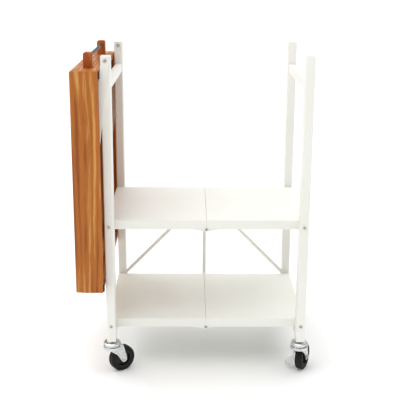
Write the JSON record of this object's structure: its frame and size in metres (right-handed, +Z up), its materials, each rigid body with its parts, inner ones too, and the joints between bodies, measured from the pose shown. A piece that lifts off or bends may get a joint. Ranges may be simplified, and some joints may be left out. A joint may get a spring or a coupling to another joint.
{
  "type": "rolling utility cart",
  "caption": "Folding kitchen cart: two tube side frames on swivel casters, shelves hinged to fold up in the middle, and a wooden tray top on swing arms.",
  "frame": {"origin": "middle of the whole cart's footprint on the floor, with the wooden top hanging outside the left frame", "axes": "+Z up, +X towards the right side frame, away from the hanging top, +Y from the front towards the rear, where the braces are"},
  "size_m": [0.6642, 0.5348, 0.9095],
  "materials": {
    "white_enamel": "semi-gloss powder coat",
    "wood_top": "clear satin lacquer, long grain",
    "wood_bracket": "clear satin lacquer, reddish",
    "bar_steel": "brushed",
    "fastener_steel": "dull, darkened zinc",
    "caster_zinc": "bright zinc plate",
    "black_tyre": "matt, slightly dusty",
    "black_hub": "matt moulded",
    "cap_plastic": "matt moulded",
    "bumper_rubber": "matt"
  },
  "bodies": {
    "left_frame": {"left_front_post": "white_enamel", "left_rear_post": "white_enamel", "left_upper_cross_rail": "white_enamel", "left_lower_cross_rail": "white_enamel", "left_post_caps": "cap_plastic", "left_shelf_fasteners": "fastener_steel", "left_caster_stems": "caster_zinc", "arm_fasteners": "fastener_steel"},
    "right_frame": {"right_front_post": "white_enamel", "right_rear_post": "white_enamel", "right_upper_cross_rail": "white_enamel", "right_lower_cross_rail": "white_enamel", "right_post_caps": "cap_plastic", "right_shelf_fasteners": "fastener_steel", "right_caster_stems": "caster_zinc"},
    "upper_left_half": {"upper_left_panel": "white_enamel", "upper_left_front_rail": "white_enamel", "upper_left_rear_rail": "white_enamel", "upper_hinge_fasteners": "fastener_steel"},
    "upper_right_half": {"upper_right_panel": "white_enamel", "upper_right_front_rail": "white_enamel", "upper_right_rear_rail": "white_enamel"},
    "lower_left_half": {"lower_left_panel": "white_enamel", "lower_left_front_rail": "white_enamel", "lower_left_rear_rail": "white_enamel", "lower_hinge_fasteners": "fastener_steel"},
    "lower_right_half": {"lower_right_panel": "white_enamel", "lower_right_front_rail": "white_enamel", "lower_right_rear_rail": "white_enamel"},
    "centre_link": {"centre_link": "white_enamel"},
    "brace_slider": {"brace_slider": "white_enamel"},
    "left_brace": {"left_brace": "white_enamel"},
    "right_brace": {"right_brace": "white_enamel"},
    "swing_arms": {"front_swing_arm": "white_enamel", "rear_swing_arm": "white_enamel"},
    "tray": {"tray_panel": "wood_top", "tray_side_aprons": "wood_top", "tray_end_aprons": "wood_top", "tray_bumpers": "bumper_rubber", "tray_pivot_fasteners": "fastener_steel", "towel_bar_brackets": "wood_bracket", "towel_bar": "bar_steel"},
    "front_left_swivel": {"front_left_fork": "caster_zinc", "front_left_axle": "caster_zinc"},
    "front_left_wheel": {"front_left_tyre": "black_tyre", "front_left_hub": "black_hub"},
    "front_right_swivel": {"front_right_fork": "caster_zinc", "front_right_axle": "caster_zinc"},
    "front_right_wheel": {"front_right_tyre": "black_tyre", "front_right_hub": "black_hub"},
    "front_right_brake": {"front_right_brake_lever": "caster_zinc"},
    "rear_left_swivel": {"rear_left_fork": "caster_zinc", "rear_left_axle": "caster_zinc"},
    "rear_left_wheel": {"rear_left_tyre": "black_tyre", "rear_left_hub": "black_hub"},
    "rear_right_swivel": {"rear_right_fork": "caster_zinc", "rear_right_axle": "caster_zinc"},
    "rear_right_wheel": {"rear_right_tyre": "black_tyre", "rear_right_hub": "black_hub"},
    "rear_right_brake": {"rear_right_brake_lever": "caster_zinc"}
  },
  "joints": [
    {"name": "fold", "type": "hinge", "parent": "left_frame", "child": "upper_left_half", "pos_m": [-0.24106, -0.00743, 0.4405], "axis": [0, -1, 0], "range_deg": [0, 76]},
    {"name": "upper_centre_hinge", "type": "hinge", "parent": "upper_left_half", "child": "upper_right_half", "pos_m": [0.02644, -0.00743, 0.4225], "axis": [0, -1, 0], "range_deg": [-152, 0]},
    {"name": "upper_right_pivot", "type": "hinge", "parent": "upper_right_half", "child": "right_frame", "pos_m": [0.29394, -0.00743, 0.4405], "axis": [0, -1, 0], "range_deg": [0, 76]},
    {"name": "lower_left_pivot", "type": "hinge", "parent": "left_frame", "child": "lower_left_half", "pos_m": [-0.24106, -0.00743, 0.148], "axis": [0, -1, 0], "range_deg": [0, 76]},
    {"name": "lower_centre_hinge", "type": "hinge", "parent": "lower_left_half", "child": "lower_right_half", "pos_m": [0.02644, -0.00743, 0.13], "axis": [0, -1, 0], "range_deg": [-152, 0]},
    {"name": "centre_link_pivot", "type": "hinge", "parent": "upper_left_half", "child": "centre_link", "pos_m": [0.02644, -0.00743, 0.4225], "axis": [0, -1, 0], "range_deg": [-76, 0]},
    {"name": "slider_run", "type": "slide", "parent": "centre_link", "child": "brace_slider", "axis": [0, 0, -1], "range_m": [0, 0.175]},
    {"name": "left_brace_pivot", "type": "hinge", "parent": "left_frame", "child": "left_brace", "pos_m": [-0.24106, -0.00743, 0.148], "axis": [0, -1, 0], "range_deg": [0, 33.1]},
    {"name": "right_brace_pivot", "type": "hinge", "parent": "right_frame", "child": "right_brace", "pos_m": [0.29394, -0.00743, 0.148], "axis": [0, -1, 0], "range_deg": [-33.1, 0]},
    {"name": "arms", "type": "hinge", "parent": "left_frame", "child": "swing_arms", "pos_m": [-0.24106, -0.00743, 0.8929], "axis": [0, 1, 0], "range_deg": [0, 267.29]},
    {"name": "tray_pivot", "type": "hinge", "parent": "swing_arms", "child": "tray", "pos_m": [-0.27906, -0.00743, 0.59593], "axis": [0, 1, 0], "range_deg": [-177.3, 0]},
    {"name": "front_left_swivel", "type": "hinge", "parent": "left_frame", "child": "front_left_swivel", "pos_m": [-0.24106, -0.21743, 0.0945], "axis": [0, 0, 1], "continuous": true},
    {"name": "front_left_roll", "type": "hinge", "parent": "front_left_swivel", "child": "front_left_wheel", "pos_m": [-0.21619, -0.20065, 0.0375], "axis": [-0.5592, 0.829, 0], "continuous": true},
    {"name": "front_right_swivel", "type": "hinge", "parent": "right_frame", "child": "front_right_swivel", "pos_m": [0.29394, -0.21743, 0.0945], "axis": [0, 0, 1], "continuous": true},
    {"name": "front_right_roll", "type": "hinge", "parent": "front_right_swivel", "child": "front_right_wheel", "pos_m": [0.30709, -0.19046, 0.0375], "axis": [-0.8988, 0.4384, 0], "continuous": true},
    {"name": "front_right_brake", "type": "hinge", "parent": "front_right_swivel", "child": "front_right_brake", "pos_m": [0.28983, -0.18205, 0.055], "axis": [0.4384, 0.8988, 0], "range_deg": [0, 40]},
    {"name": "rear_left_swivel", "type": "hinge", "parent": "left_frame", "child": "rear_left_swivel", "pos_m": [-0.24106, 0.20257, 0.0945], "axis": [0, 0, 1], "continuous": true},
    {"name": "rear_left_roll", "type": "hinge", "parent": "rear_left_swivel", "child": "rear_left_wheel", "pos_m": [-0.21742, 0.22104, 0.0375], "axis": [-0.6157, 0.788, 0], "continuous": true},
    {"name": "rear_right_swivel", "type": "hinge", "parent": "right_frame", "child": "rear_right_swivel", "pos_m": [0.29394, 0.20257, 0.0945], "axis": [0, 0, 1], "continuous": true},
    {"name": "rear_right_roll", "type": "hinge", "parent": "rear_right_swivel", "child": "rear_right_wheel", "pos_m": [0.30614, 0.22998, 0.0375], "axis": [-0.9135, 0.4067, 0], "continuous": true},
    {"name": "rear_right_brake", "type": "hinge", "parent": "rear_right_swivel", "child": "rear_right_brake", "pos_m": [0.2886, 0.23779, 0.055], "axis": [0.4067, 0.9135, 0], "range_deg": [0, 40]}
  ],
  "couplings": [
    {"joint": "upper_centre_hinge", "follows": "fold", "ratio": -2},
    {"joint": "upper_right_pivot", "follows": "fold", "ratio": 1},
    {"joint": "lower_left_pivot", "follows": "fold", "ratio": 1},
    {"joint": "lower_centre_hinge", "follows": "fold", "ratio": -2},
    {"joint": "centre_link_pivot", "follows": "fold", "ratio": -1},
    {"joint": "slider_run", "follows": "fold", "m_per_rad": 0.13186},
    {"joint": "left_brace_pivot", "follows": "fold", "ratio": 0.43443},
    {"joint": "right_brace_pivot", "follows": "fold", "ratio": -0.43443},
    {"joint": "tray_pivot", "follows": "arms", "ratio": -0.66328}
  ]
}
